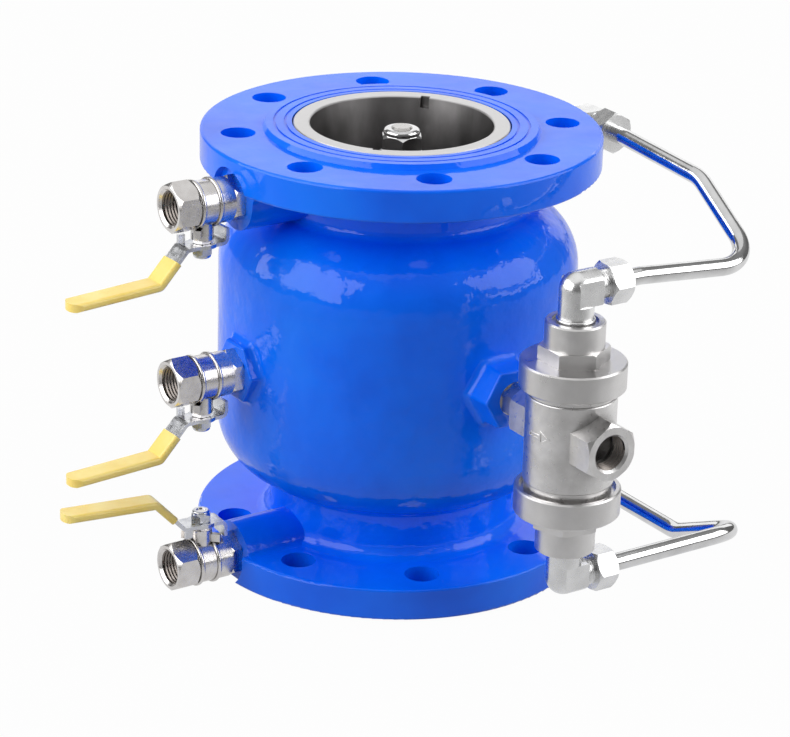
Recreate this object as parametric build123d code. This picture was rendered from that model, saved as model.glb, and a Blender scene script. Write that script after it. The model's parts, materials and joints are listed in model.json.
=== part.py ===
from build123d import *
import math
import os

os.makedirs("parts", exist_ok=True)

# Reduced pressure backflow preventer, flanged, standing on its outlet flange.
# Millimetres. Z runs up the flow axis, the test cocks point to -X, the relief valve stands on -Y
# and the pilot lines join the casting on +X. The origin is the middle of the outlet face.

# Driving dimensions of the casting, after a DN100 flange drilled for eight bolts
overall_length = 250.0
raised_face = 3.0
flange_dia = 220.0
flange_thickness = 18.0
bolt_circle = 180.0
bolt_hole = 19.0
bolt_count = 8
raised_face_dia = 152.0
face_slope = 1.5
groove_inner_r = 63.7
groove_outer_r = 69.6
groove_width = 1.4
groove_depth = 0.7
rim_round = 1.5
outlet_bore = 100.0
barrel_r = 99.5
wall = 9.0
shoulder_r = 33.5
shoulder_height = 62.0
upper_shoulder_height = 57.0
neck_r = 69.0
neck_blend = 8.0
shoulder_blend = 5.0
partition_t = 10.0
partition_lift = 4.0
partition_bore_r = 52.5
ring_gap = 0.4
ring_bore_depth = 34.0
exit_bore_r = 60.0
exit_cone_z = 30.0
exit_bore_z = 14.0
cut_past = 1.0

# Driving dimensions of the branches
cock_boss_height = 5.5
relief_boss_height = 15.0
relief_standoff = 50.0
top_cock_drop = 26.0
low_cock_z = 17.0
relief_port_rise = 3.2
pilot_face_x = 108.0
upper_pilot_drop = 17.0
lower_pilot_z = 18.4
cock_boss_r = 18.0
pilot_boss_r = 13.0
boss_blend = 5.0
seat_clear = 0.5
spot_r = 17.0
hex_boss_r = 18.0
hex_boss_round = 2.0
hex_boss_edge = 1.2
hex_boss_blend = 4.0
hex_boss_taper = 4.0
thread_depth = 13.0
cock_drill_r = 6.0
relief_drill_r = 8.0
pilot_drill_r = 3.0
g_half_minor_r = 9.3
thread_r = 9.35
thread_gap = 0.05
pilot_thread_r = 6.5
pilot_thread_gap = 0.1

# Driving dimensions of the checks
inlet_seat_drop = 62.0
outlet_seat_z = 88.0
seat_ring_r = 59.6
ring_bore = 50.3
throat_r = 45.0
throat_height = 12.0
seat_step = 2.0
lip_from_throat = 1.0
lip_width = 3.0
nose_r = 52.3
ledge_r = 55.9
belt_r = 57.2
belt_top_drop = 13.0
belt_bottom_drop = 31.0
ring_skirt_drop = 34.0
ring_nose_drop = 44.0
ring_nose_cone = 3.0
notch_width = 5.0
notch_depth = 2.6
notch_height = 6.0
notch_angle = 42.0
cross_hole_r = 3.0
cross_hole_drop = 22.0
cross_hole_angles = (200.0, 250.0)
guide_hub_r = 11.0
guide_hub_height = 10.0
guide_arm_width = 6.0
guide_arm_height = 7.0
outlet_collar_in = 4.8
outlet_collar_out = 3.5
outlet_collar_height = 4.0
ring_edge = 0.8
disc_r = 52.0
disc_drop = 13.0
disc_edge = 4.0
disc_cone = 18.0
disc_sink = 1.0
disc_hub_r = 10.0
disc_hub_foot_r = 14.0
disc_hub_rise = 0.5
seal_land = 0.2
seal_depth = 5.0
seal_inner_r = 42.0
closed_gap = 0.05
stem_r = 6.0
stem_top = 60.0
stem_edge = 1.0
running_gap = 0.06
check_spring_r = 10.6
check_spring_wire_r = 1.4
check_spring_turns = 4.5
check_nut_flats = 21.0
check_nut_height = 10.8
check_nut_crown = 3.4
spring_plate_r = 12.4
spring_plate_t = 2.0

# Driving dimensions of the test cocks, drawn with the stem up and the mouth toward -X
cock_length = 40.5
mouth_hex = 25.0
mouth_hex_length = 13.5
mouth_bevel = 2.2
cock_body_r = 12.2
bead_r = 13.4
bead_width = 2.4
front_bead = 24.2
rear_bead = 13.8
tail_hex = 23.0
tail_hex_length = 6.0
stem_from_face = 20.0
cock_neck_r = 6.2
cock_neck_top = 19.5
stop_reach = 4.7
stop_length = 5.0
stop_width = 3.0
stop_height = 4.4
stop_z = 14.4
stop_angles = (-42.0, 132.0)
cock_bore = 5.0
ball_r = 8.0
ball_clear = 1.5
ball_slot_width = 7.0
ball_slot_depth = 2.4
chamber_r = 9.65
seat_width = 4.2
seat_gap = 0.03
seat_bore_gap = 0.2
cock_thread_length = 12.0
weld_over = 0.5
mouth_depth = 10.0
mouth_cone_r = 10.6
mouth_cone_depth = 1.3
spindle_r = 3.1
spindle_top = 29.6
spindle_tongue = 2.2
spindle_lift = 0.3
tongue_width = 5.4
tongue_height = 2.6
tongue_depth = 2.1
spindle_step = 0.4
packing_r = 4.8
packing_height = 3.5
packing_z = 13.0
gland_hex = 9.6
gland_hex_height = 2.1
lever_nut_flats = 10.0
lever_nut_height = 4.6
lever_nut_crown = 1.8
plate_z = 21.8
plate_t = 2.0
plate_r = 8.0
strip_width = 12.5
tab_from_stem = 12.2
tab_foot = 14.5
lever_bend = 12.5
lever_knee = 29.0
lever_rise = 17.4
lever_droop = 1.8
lever_reach = 79.5
lever_bend_r = 3.0
lever_corner = 5.0
lug_from_stem = 10.0
lug_width = 4.0
lug_hang = 4.0
key_gap = 0.03
grip_width = 14.0
grip_t = 4.6
grip_edge = 1.8
grip_lag = 8.5
grip_over = 3.0
rest_turn_1 = 3.0
rest_turn_2 = 2.0
rest_turn_3 = 4.0

# Driving dimensions of the relief valve
relief_body_r = 22.95
relief_waist_r = 23.8
waist_inset = 3.5
mouth_above_port = 25.2
mouth_below_port = 30.2
body_in_cap = 11.2
spool_r = 16.45
spool_bore = 16.5
drain_hex = 28.6
drain_reach = 36.0
drain_bevel = 2.0
rear_bevel = 1.2
rear_reach = 34.5
relief_way_r = 8.0
collar_r = 28.0
collar_height = 14.6
collar_edge = 0.8
cap_mouth_r = 25.4
cap_mouth_depth = 2.6
cap_thread_depth = 11.4
cap_hex = 32.7
cap_hex_height = 7.9
cap_hex_bevel = 0.6
crown_r = 15.8
crown_height = 13.8
crown_recess_r = 12.2
crown_recess_depth = 1.5
cap_spring_r = 11.5
cap_spring_depth = 25.0
top_cap_turn = 30.0
bottom_cap_turn = 50.0
spool_waist_r = 8.0
spool_skirt_r = 14.0
spool_foot_gap = 0.1
spool_pin = 8.0
low_land_drop = 39.0
low_land_width = 13.0
mid_land_drop = 10.5
top_land_rise = 22.5
low_ring_rise = 5.5
mid_ring_drop = 10.0
top_ring_drop = 4.0
ring_r = 15.32
ring_wire_r = 1.1
ring_groove = 2.4
ring_groove_r = 14.2
relief_spring_r = 9.7
relief_wire_r = 1.1
relief_spring_turns = 5
nipple_hex = 17.0
nipple_bevel = 0.8
nipple_bore_r = 7.0
nipple_screwed = 12.0

# Driving dimensions of the pilot lines
tube_r = 4.75
tube_bore_r = 3.4
tube_bend_r = 25.0
tube_gap = 0.05
tube_seat = 19.0
elbow_leg = 16.7
elbow_r = 9.4
elbow_arm = 11.2
elbow_bore_r = 4.0
elbow_end = 25.0
elbow_screw = 9.0
cheek_half = 8.4
cheek_back = 4.0
cheek_up = 5.2
cheek_down = 8.0
cheek_edge = 0.7
foot_r = 10.3
foot_height = 3.0
foot_round = 1.0
male_r = 7.4
nut_start = 16.6
nut_hex = 21.0
nut_length = 12.4
nut_bevel = 1.4
nut_thread = 10.8
ferrule_length = 2.1
ferrule_gap = 0.2
ferrule_edge = 0.7
upper_run_drop = 6.9
upper_run_x = 117.0
upper_knee_y = -105.0
upper_knee_drop = 4.0
lower_knee_y = -104.0
pilot_straight = 40.0

# Derived places
flange_r = flange_dia / 2
face_r = raised_face_dia / 2
low_top = raised_face + flange_thickness
high_rim = overall_length - raised_face
high_under = high_rim - flange_thickness
lower_shoulder_z = low_top + shoulder_height
upper_shoulder_z = high_under - upper_shoulder_height
shoulder_centre_r = barrel_r - shoulder_r
neck_drop = math.sqrt(shoulder_r ** 2 - (neck_r - shoulder_centre_r) ** 2)
inner_r = barrel_r - wall
inner_shoulder = shoulder_r - wall
diagonal = math.sqrt(0.5)
shoulder_mid_r = shoulder_centre_r + shoulder_r * diagonal
low_neck_z = lower_shoulder_z - neck_drop
high_neck_z = upper_shoulder_z + neck_drop
boss_root = neck_r - wall
cock_face_x = -barrel_r - cock_boss_height
top_cock_z = overall_length - top_cock_drop
mid_cock_z = overall_length / 2
relief_port_z = overall_length / 2 + relief_port_rise
relief_face_y = -barrel_r - relief_boss_height
relief_y = relief_face_y - relief_standoff
upper_pilot_z = overall_length - upper_pilot_drop
inlet_seat_z = overall_length - inlet_seat_drop
ring_bore_r = seat_ring_r + ring_gap
ring_ledge_r = ledge_r + ring_gap
thread_hole_r = thread_r + thread_gap
pilot_hole_r = pilot_thread_r + pilot_thread_gap

UP = (0, 0, 1)
DOWN = (0, 0, -1)
WEST = (-1, 0, 0)
EAST = (1, 0, 0)
SOUTH = (0, -1, 0)
NORTH = (0, 1, 0)


def toward(angle):
    """The level direction at an angle from +X."""
    return (math.cos(math.radians(angle)), math.sin(math.radians(angle)), 0)


def rod(origin, direction, radius, length):
    """A round bar that starts at origin and runs along direction."""
    return extrude(Plane(origin=origin, z_dir=direction) * Circle(radius), amount=length)


def tube(origin, direction, outer, inner, length):
    """A round bar with a bore."""
    section = Circle(outer) - Circle(inner)
    return extrude(Plane(origin=origin, z_dir=direction) * section, amount=length)


def cone(origin, direction, radius, depth):
    """A countersink that narrows at 45 degrees."""
    return extrude(Plane(origin=origin, z_dir=direction) * Circle(radius), amount=depth, taper=45)


def hex_bar(origin, direction, vertex, flats, length, bevel=0.0):
    """A hexagonal bar with one corner toward vertex, its ends bevelled as a nut's are."""
    plane = Plane(origin=origin, x_dir=vertex, z_dir=direction)
    shape = extrude(plane * RegularPolygon(flats / 2, 6, major_radius=False), amount=length)
    if bevel:
        limit = rod(origin, direction, flats / math.sqrt(3), length)
        shape = shape & chamfer(limit.edges().filter_by(GeomType.CIRCLE), bevel)
    return shape


def turned(points):
    """A solid of revolution about Z from (radius, height) corners."""
    return revolve(make_face(Plane.XZ * Polyline(*points, close=True)), Axis.Z)


def coil(radius, wire_r, bottom, top, turns):
    """A compression spring of round wire between two heights."""
    height = top - bottom - 2 * wire_r
    path = Pos(0, 0, bottom + wire_r) * Helix(height / turns, height, radius)
    section = Plane(origin=path @ 0, z_dir=path % 0) * Circle(wire_r)
    return sweep(section, path, is_frenet=True)


def lock_nut(flats, height, crown, bore, bottom):
    """A hexagon nut with the round crown that holds its locking insert."""
    crown_at = bottom + height
    crown_radius = flats * 0.48
    nut = hex_bar((0, 0, bottom), UP, EAST, flats, height, flats * 0.075)
    ring = rod((0, 0, crown_at), UP, crown_radius, crown)
    nut += fillet(circle_edges(ring, crown_radius, crown_at + crown), crown * 0.6)
    return nut - rod((0, 0, bottom), UP, bore, height + crown)


def save(shape, name):
    export_step(shape, f"parts/{name}.step")


def circle_edges(shape, radius, height):
    """Round edges about Z that have this radius and height."""
    rounds = shape.edges().filter_by(GeomType.CIRCLE)
    return [e for e in rounds if abs(e.radius - radius) < 0.01 and abs(e.center().Z - height) < 0.01]


# Casting: outer skin turned round the flow axis
with BuildPart() as skin:
    with BuildSketch(Plane.XZ):
        with BuildLine():
            Polyline((0, 0), (face_r - face_slope, 0), (face_r, raised_face), (flange_r, raised_face),
                     (flange_r, low_top), (neck_r, low_top), (neck_r, low_neck_z))
            ThreePointArc((neck_r, low_neck_z), (shoulder_mid_r, lower_shoulder_z - shoulder_r * diagonal),
                          (barrel_r, lower_shoulder_z))
            Line((barrel_r, lower_shoulder_z), (barrel_r, upper_shoulder_z))
            ThreePointArc((barrel_r, upper_shoulder_z),
                          (shoulder_mid_r, upper_shoulder_z + shoulder_r * diagonal), (neck_r, high_neck_z))
            Polyline((neck_r, high_neck_z), (neck_r, high_under), (flange_r, high_under),
                     (flange_r, high_rim), (face_r, high_rim), (face_r - face_slope, overall_length),
                     (0, overall_length), (0, 0))
        make_face()
    revolve(axis=Axis.Z)
casting = skin.part
flange_roots = circle_edges(casting, neck_r, low_top) + circle_edges(casting, neck_r, high_under)
casting = fillet(flange_roots, neck_blend)
neck_roots = circle_edges(casting, neck_r, low_neck_z) + circle_edges(casting, neck_r, high_neck_z)
casting = fillet(neck_roots, shoulder_blend)
rims = [edge for height in (raised_face, low_top, high_under, high_rim)
        for edge in circle_edges(casting, flange_r, height)]
casting = fillet(rims, rim_round)


# Casting: branches for the test cocks, the relief valve and the pilot lines
def flange_boss(radius, axis_z, flange_z, start_x, length):
    """A round boss along +X that grows out of a flange's inner side with a blend."""
    offset = flange_z - axis_z
    into = flange_thickness / 2 if flange_z > overall_length / 2 else -flange_thickness / 2
    section = Circle(radius) + Pos(0, offset + into / 2) * Rectangle(2 * (radius + boss_blend), abs(into))
    corners = [v for v in section.vertices() if abs(v.Y - offset) < 0.01 and abs(v.X) < radius + 0.01]
    section = fillet(corners, boss_blend)
    plane = Plane(origin=(start_x, 0, axis_z), x_dir=NORTH, z_dir=EAST)
    kept = Pos(0, 0, overall_length / 2) * Box(3 * flange_dia, flange_dia, high_rim - raised_face)
    return extrude(plane * section, amount=length) & kept


def flared_hex(origin, inward, vertex):
    """The cast hexagon round a side port, a little wider toward the barrel."""
    face = Plane(origin=origin, x_dir=vertex, z_dir=inward) * RegularPolygon(hex_boss_r, 6)
    boss = extrude(face, amount=2 * hex_boss_r, taper=-hex_boss_taper)
    corners = [e for e in boss.edges() if e.length > 1.8 * hex_boss_r]
    boss = fillet(corners, hex_boss_round)
    front = boss.faces().sort_by(lambda f: (f.center() - Vector(*origin)).length)[0]
    return fillet(front.edges(), hex_boss_edge)


for origin, inward, vertex in (((cock_face_x, 0, mid_cock_z), EAST, NORTH),
                               ((0, relief_face_y, relief_port_z), NORTH, EAST)):
    boss = flared_hex(origin, inward, vertex)
    joined = casting + boss
    casting = fillet(new_edges(casting, boss, combined=joined), hex_boss_blend)
cock_boss_length = -cock_face_x - boss_root
pilot_boss_length = pilot_face_x - boss_root
casting += flange_boss(cock_boss_r, top_cock_z, high_under, cock_face_x, cock_boss_length)
casting += flange_boss(cock_boss_r, low_cock_z, low_top, cock_face_x, cock_boss_length)
casting += flange_boss(pilot_boss_r, upper_pilot_z, high_under, boss_root, pilot_boss_length)
casting += flange_boss(pilot_boss_r, lower_pilot_z, low_top, boss_root, pilot_boss_length)

# Casting: flow passage with the partition that carries the outlet seat
partition_z = outlet_seat_z + partition_lift
partition_top = partition_z + partition_t
cut_top = overall_length + cut_past
vault_mid_r = shoulder_centre_r + inner_shoulder * diagonal
upper_vault_z = upper_shoulder_z + inner_shoulder
lower_vault_z = lower_shoulder_z - inner_shoulder
with BuildPart() as passage:
    with BuildSketch(Plane.XZ):
        with BuildLine():
            Polyline((0, cut_top), (ring_bore_r, cut_top),
                     (ring_bore_r, overall_length - ring_bore_depth),
                     (ring_ledge_r, overall_length - ring_bore_depth),
                     (ring_ledge_r, upper_vault_z), (shoulder_centre_r, upper_vault_z))
            ThreePointArc((shoulder_centre_r, upper_vault_z),
                          (vault_mid_r, upper_shoulder_z + inner_shoulder * diagonal),
                          (inner_r, upper_shoulder_z))
            Polyline((inner_r, upper_shoulder_z), (inner_r, partition_top),
                     (partition_bore_r, partition_top), (partition_bore_r, partition_z),
                     (inner_r, partition_z), (inner_r, lower_shoulder_z))
            ThreePointArc((inner_r, lower_shoulder_z),
                          (vault_mid_r, lower_shoulder_z - inner_shoulder * diagonal),
                          (shoulder_centre_r, lower_vault_z))
            Polyline((shoulder_centre_r, lower_vault_z), (exit_bore_r, lower_vault_z),
                     (exit_bore_r, exit_cone_z), (outlet_bore / 2, exit_bore_z),
                     (outlet_bore / 2, -cut_past), (0, -cut_past), (0, cut_top))
        make_face()
    revolve(axis=Axis.Z)
casting -= passage.part

# Casting: bolt holes, threaded ports, flats for the cocks and the sealing grooves of both faces
bolt_angle = 360 / bolt_count
for k in range(bolt_count):
    for hole_bottom in (-cut_past, high_under - cut_past):
        hole = rod((bolt_circle / 2, 0, hole_bottom), UP, bolt_hole / 2, low_top + 2 * cut_past)
        casting -= Rot(0, 0, bolt_angle * (k + 0.5)) * hole
spot_depth = flange_r + cock_face_x + seat_clear
for cock_z in (top_cock_z, low_cock_z):
    casting -= rod((cock_face_x, 0, cock_z), WEST, spot_r, spot_depth)
drill_ends = {top_cock_z: ring_bore_r - wall, mid_cock_z: inner_r - wall, low_cock_z: outlet_bore / 2 - wall}
for cock_z, drill_end in drill_ends.items():
    casting -= rod((cock_face_x, 0, cock_z), EAST, thread_hole_r, thread_depth)
    casting -= rod((cock_face_x, 0, cock_z), EAST, cock_drill_r, -cock_face_x - drill_end)
casting -= rod((0, relief_face_y, relief_port_z), NORTH, thread_hole_r, thread_depth)
casting -= rod((0, relief_face_y, relief_port_z), NORTH, relief_drill_r, relief_boss_height + 2 * wall)
for pilot_z in (upper_pilot_z, lower_pilot_z):
    casting -= rod((pilot_face_x, 0, pilot_z), EAST, pilot_boss_r + seat_clear, neck_blend)
    casting -= rod((pilot_face_x, 0, pilot_z), WEST, foot_r + seat_clear, crown_recess_depth)
    casting -= rod((pilot_face_x, 0, pilot_z), WEST, pilot_hole_r, elbow_screw + 2)
    casting -= rod((pilot_face_x, 0, pilot_z), WEST, pilot_drill_r, pilot_face_x - outlet_bore / 2 + wall)
for groove_r in (groove_inner_r, groove_outer_r):
    groove = tube((0, 0, 0), UP, groove_r + groove_width / 2, groove_r - groove_width / 2, groove_depth)
    casting -= groove
    casting -= Pos(0, 0, overall_length - groove_depth) * groove
save(casting, "valve_casting")


# Checks: seat rings, each with a three-armed guide for the stem
def guide(seat_z):
    """Hub and arms that hold the stem in the throat of a seat ring."""
    hub_z = seat_z + lip_width
    arm_z = hub_z + guide_arm_height / 2 + 0.5
    arm_from = guide_hub_r - lip_from_throat * 2
    arm_to = throat_r + lip_from_throat
    spider = rod((0, 0, hub_z), UP, guide_hub_r, guide_hub_height)
    arm = Pos((arm_from + arm_to) / 2, 0, arm_z) * Box(arm_to - arm_from, guide_arm_width, guide_arm_height)
    for k in range(3):
        spider += Rot(0, 0, 120 * k + 60) * arm
    return spider - rod((0, 0, seat_z), UP, stem_r + running_gap, 2 * guide_hub_height)


def seat_lip(seat_z):
    """The narrow ring that the rubber closes on."""
    inner = throat_r + lip_from_throat
    return tube((0, 0, seat_z), UP, inner + lip_width, inner, lip_width)


top = overall_length
inlet_ring = turned([(ring_bore, top), (seat_ring_r, top), (seat_ring_r, top - belt_top_drop),
                     (belt_r, top - belt_top_drop), (belt_r, top - belt_bottom_drop),
                     (seat_ring_r, top - belt_bottom_drop), (seat_ring_r, top - ring_skirt_drop),
                     (ledge_r, top - ring_skirt_drop), (ledge_r, top - ring_nose_drop),
                     (nose_r, top - ring_nose_drop - ring_nose_cone), (nose_r, inlet_seat_z + seat_step),
                     (throat_r, inlet_seat_z + seat_step), (throat_r, inlet_seat_z + throat_height)])
inlet_ring = chamfer(circle_edges(inlet_ring, seat_ring_r, top) + circle_edges(inlet_ring, ring_bore, top), ring_edge)
inlet_ring += guide(inlet_seat_z) + seat_lip(inlet_seat_z)
for k in range(2):
    notch = Pos(ring_bore, 0, top) * Box(2 * notch_depth, notch_width, 2 * notch_height)
    inlet_ring -= Rot(0, 0, notch_angle + 180 * k) * notch
for hole_angle in cross_hole_angles:
    inlet_ring -= rod((0, 0, top - cross_hole_drop), toward(hole_angle), cross_hole_r, seat_ring_r + cut_past)
save(inlet_ring, "inlet_seat_ring")

collar_top = partition_top + outlet_collar_height
outlet_ring = turned([(nose_r - outlet_collar_in, collar_top), (nose_r + outlet_collar_out, collar_top),
                      (nose_r + outlet_collar_out, partition_top), (nose_r, partition_top),
                      (nose_r, outlet_seat_z + seat_step),
                      (throat_r, outlet_seat_z + seat_step), (throat_r, outlet_seat_z + throat_height)])
outlet_ring += guide(outlet_seat_z) + seat_lip(outlet_seat_z)
save(outlet_ring, "outlet_seat_ring")

# Checks: the moving pieces, alike for both seats
nut_from_seat = stem_top - stem_edge - check_nut_height - check_nut_crown
plate_from_seat = nut_from_seat - spring_plate_t
hub_from_seat = lip_width + guide_hub_height
for side, seat_z in (("inlet", inlet_seat_z), ("outlet", outlet_seat_z)):
    ledge = seat_z - seal_depth - closed_gap
    disc_bottom = seat_z - disc_drop
    disc_top = seat_z - disc_sink
    hub_top = seat_z + disc_hub_rise
    stem_end = seat_z + stem_top
    poppet = turned([(0, disc_bottom), (disc_r - disc_cone, disc_bottom), (disc_r, disc_bottom + disc_edge),
                     (disc_r, ledge), (seal_inner_r - seal_land, ledge), (seal_inner_r - seal_land, disc_top),
                     (disc_hub_foot_r, disc_top), (disc_hub_r, hub_top), (stem_r, hub_top),
                     (stem_r, stem_end - stem_edge), (stem_r - stem_edge, stem_end), (0, stem_end)])
    save(poppet, f"{side}_poppet")
    save(tube((0, 0, ledge), UP, disc_r - 0.5, seal_inner_r, seal_depth), f"{side}_disc_seal")
    save(coil(check_spring_r, check_spring_wire_r, seat_z + hub_from_seat, seat_z + plate_from_seat,
              check_spring_turns), f"{side}_spring")
    plate = tube((0, 0, seat_z + plate_from_seat), UP, spring_plate_r, stem_r, spring_plate_t)
    save(plate, f"{side}_spring_plate")
    nut = lock_nut(check_nut_flats, check_nut_height, check_nut_crown, stem_r, seat_z + nut_from_seat)
    save(nut, f"{side}_lock_nut")

# Test cocks: half-inch ball valves
stem_x = cock_face_x - stem_from_face
mouth_x = cock_face_x - cock_length
tail_x = cock_face_x - tail_hex_length
hex_back_x = mouth_x + mouth_hex_length
cavity_half = ball_r + ball_clear

cock_shell = rod((tail_x, 0, 0), WEST, cock_body_r, tail_x - hex_back_x + 1)
cock_shell += hex_bar((hex_back_x, 0, 0), WEST, UP, mouth_hex, mouth_hex_length, mouth_bevel)
for bead_from_face in (front_bead, rear_bead):
    bead = rod((cock_face_x - bead_from_face, 0, 0), WEST, bead_r, bead_width)
    cock_shell += fillet(bead.edges().filter_by(GeomType.CIRCLE), 1.0)
cock_shell += rod((stem_x, 0, ball_r), UP, cock_neck_r, cock_neck_top - ball_r)
stop = Pos(cock_neck_r + stop_reach - stop_length / 2, 0, stop_z) * Box(stop_length, stop_width, stop_height)
for stop_angle in stop_angles:
    cock_shell += Pos(stem_x, 0, 0) * Rot(0, 0, stop_angle) * stop
cock_shell -= rod((mouth_x, 0, 0), EAST, g_half_minor_r, mouth_depth)
cock_shell -= cone((mouth_x, 0, 0), EAST, mouth_cone_r, mouth_cone_depth)
cock_shell -= rod((mouth_x, 0, 0), EAST, cock_bore, mouth_depth + 2)
cock_shell -= rod((stem_x - cavity_half, 0, 0), EAST, chamber_r, 3 * cavity_half)
cock_shell -= rod((stem_x, 0, 0), UP, spindle_r + running_gap, 3 * ball_r)
cock_shell -= rod((stem_x, 0, packing_z), UP, packing_r + thread_gap, packing_height * 3)

cock_tail = hex_bar((tail_x, 0, 0), EAST, UP, tail_hex, tail_hex_length, 1.0)
tail_plug = tail_x + weld_over - stem_x - cavity_half
cock_tail += rod((stem_x + cavity_half, 0, 0), EAST, chamber_r - thread_gap, tail_plug)
cock_tail += rod((cock_face_x, 0, 0), EAST, thread_r, cock_thread_length)
cock_tail -= rod((stem_x, 0, 0), EAST, cock_bore, cock_length)

ball_slot = Pos(0, 0, ball_r) * Box(ball_slot_width, spindle_tongue + 0.2, 2 * ball_slot_depth)
ball = Pos(stem_x, 0, 0) * (Sphere(ball_r) - ball_slot)
ball -= rod((mouth_x, 0, 0), EAST, cock_bore, cock_length)

seat = tube((-cavity_half, 0, 0), EAST, chamber_r - 2 * thread_gap, cock_bore + seat_bore_gap, seat_width)
seat -= Sphere(ball_r + seat_gap)
seats = Compound(children=[Pos(stem_x, 0, 0) * seat, Pos(stem_x, 0, 0) * Rot(0, 0, 180) * seat])

plate_top = plate_z + plate_t
flats = Box(3 * spindle_r, 1.5 * spindle_r, plate_t)
spindle_foot = ball_r + spindle_lift
spindle = rod((0, 0, spindle_foot), UP, spindle_r, plate_z - spindle_foot)
spindle += rod((0, 0, plate_z), UP, spindle_r, plate_t) & Pos(0, 0, plate_z + plate_t / 2) * flats
spindle += rod((0, 0, plate_top), UP, spindle_r - spindle_step, spindle_top - plate_top)
spindle += Pos(0, 0, ball_r + tongue_height / 2 - tongue_depth) * Box(tongue_width, spindle_tongue, tongue_height)
spindle = Pos(stem_x, 0, 0) * spindle

gland_z = packing_z + packing_height
packing = tube((stem_x, 0, packing_z), UP, packing_r, spindle_r + running_gap, packing_height)
gland = rod((stem_x, 0, gland_z), UP, packing_r, cock_neck_top - gland_z)
gland += hex_bar((stem_x, 0, cock_neck_top), UP, EAST, gland_hex, gland_hex_height, 0.4)
gland -= rod((stem_x, 0, gland_z), UP, spindle_r + running_gap, plate_z - gland_z)

# Test cocks: stamped lever with a hanging tab, and the dipped grip that follows it
lever_mid = plate_z + plate_t / 2
knee_z = lever_mid + lever_rise
tip = (stem_x - lever_reach, 0, knee_z + lever_droop)
bend = (stem_x - lever_bend, 0, lever_mid)
knee = (stem_x - lever_knee, 0, knee_z)
tab_x = stem_x + tab_from_stem
tab_corner = (tab_x, 0, lever_mid)
lever_path = FilletPolyline((tab_x, 0, tab_foot), tab_corner, bend, knee, tip, radius=lever_bend_r)
lever_start = Plane(origin=lever_path @ 0, x_dir=NORTH, z_dir=lever_path % 0)
lever = sweep(lever_start * Rectangle(strip_width, plate_t), lever_path)
tip_face = lever.faces().sort_by(Axis.X)[0]
lever = fillet([e for e in tip_face.edges() if abs((e % 0.5).Y) < 0.1], lever_corner)
lever += rod((stem_x, 0, plate_z), UP, plate_r, plate_t)
lug_place = Pos(stem_x - lug_from_stem, (plate_t - strip_width) / 2, plate_z - lug_hang / 2)
lever += lug_place * Box(lug_width, plate_t, lug_hang + plate_t / 2)
key_flats = Box(3 * spindle_r, 1.5 * spindle_r + 2 * key_gap, 3 * plate_t)
key_hole = rod((0, 0, plate_z), UP, spindle_r + key_gap, plate_t) & Pos(0, 0, plate_z) * key_flats
lever -= Pos(stem_x, 0, 0) * key_hole

slope = math.atan2(lever_rise, lever_knee - lever_bend)
grip_from = (bend[0] - grip_lag * math.cos(slope), 0, lever_mid + grip_lag * math.sin(slope))
grip_tip = (tip[0] - grip_over, 0, tip[2] + lever_droop * grip_over / (lever_reach - lever_knee))
grip_path = FilletPolyline(grip_from, knee, grip_tip, radius=lever_bend_r)
grip_start = Plane(origin=grip_path @ 0, x_dir=NORTH, z_dir=grip_path % 0)
grip = sweep(grip_start * RectangleRounded(grip_width, grip_t, grip_edge), grip_path)
grip_plan = Pos(grip_tip[0] + lever_reach / 2, 0, knee_z) * Box(lever_reach, grip_width, 3 * lever_rise)
grip_plan = fillet(grip_plan.edges().filter_by(Axis.Z).sort_by(Axis.X)[:2], grip_width / 2 - 0.5)
grip = (grip & grip_plan) - lever

lever_nut = lock_nut(lever_nut_flats, lever_nut_height, lever_nut_crown, spindle_r - spindle_step, plate_top)
lever_nut = Pos(stem_x, 0, 0) * lever_nut

fixed_pieces = {
    "shell": cock_shell, "tail": cock_tail, "seats": seats, "packing": packing, "gland": gland,
}
turning_pieces = {
    "ball": ball, "spindle": spindle, "lever": lever, "grip": grip, "lever_nut": lever_nut,
}
stem_axis = Pos(stem_x, 0, 0)
hanging = Rot(180, 0, 0)
cocks = {
    "test_cock_1": (Pos(0, 0, top_cock_z) * hanging, rest_turn_1),
    "test_cock_2": (Pos(0, 0, mid_cock_z) * hanging, rest_turn_2),
    "test_cock_3": (Pos(0, 0, low_cock_z), rest_turn_3),
}
for cock, (place, rest_turn) in cocks.items():
    turn = stem_axis * Rot(0, 0, -rest_turn) * stem_axis.inverse()
    for piece, shape in fixed_pieces.items():
        save(place * shape, f"{cock}_{piece}")
    for piece, shape in turning_pieces.items():
        save(place * turn * shape, f"{cock}_{piece}")

# Relief valve: body between two alike caps, drawn about its own upright axis
relief = Pos(0, relief_y, 0)
top_mouth = relief_port_z + mouth_above_port
low_mouth = relief_port_z - mouth_below_port
body_top = top_mouth + body_in_cap
body_bottom = low_mouth - body_in_cap
cap_height = collar_height + cap_hex_height + crown_height

relief_body = rod((0, 0, body_bottom), UP, relief_body_r, body_top - body_bottom)
waist = rod((0, 0, low_mouth + waist_inset), UP, relief_waist_r, top_mouth - low_mouth - 2 * waist_inset)
relief_body += fillet(waist.edges(), relief_waist_r - relief_body_r)
relief_body += hex_bar((0, -drain_reach, relief_port_z), NORTH, UP, drain_hex, drain_reach, drain_bevel)
relief_body += hex_bar((0, rear_reach, relief_port_z), SOUTH, UP, drain_hex, rear_reach, rear_bevel)
relief_body -= rod((0, 0, body_bottom), UP, spool_bore, body_top - body_bottom)
relief_body -= rod((0, -drain_reach, relief_port_z), NORTH, g_half_minor_r, mouth_depth + 2)
relief_body -= cone((0, -drain_reach, relief_port_z), NORTH, mouth_cone_r, mouth_cone_depth)
relief_body -= rod((0, rear_reach, relief_port_z), SOUTH, thread_hole_r, thread_depth)
relief_body -= rod((0, -drain_reach, relief_port_z), NORTH, relief_way_r, drain_reach + rear_reach)
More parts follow.
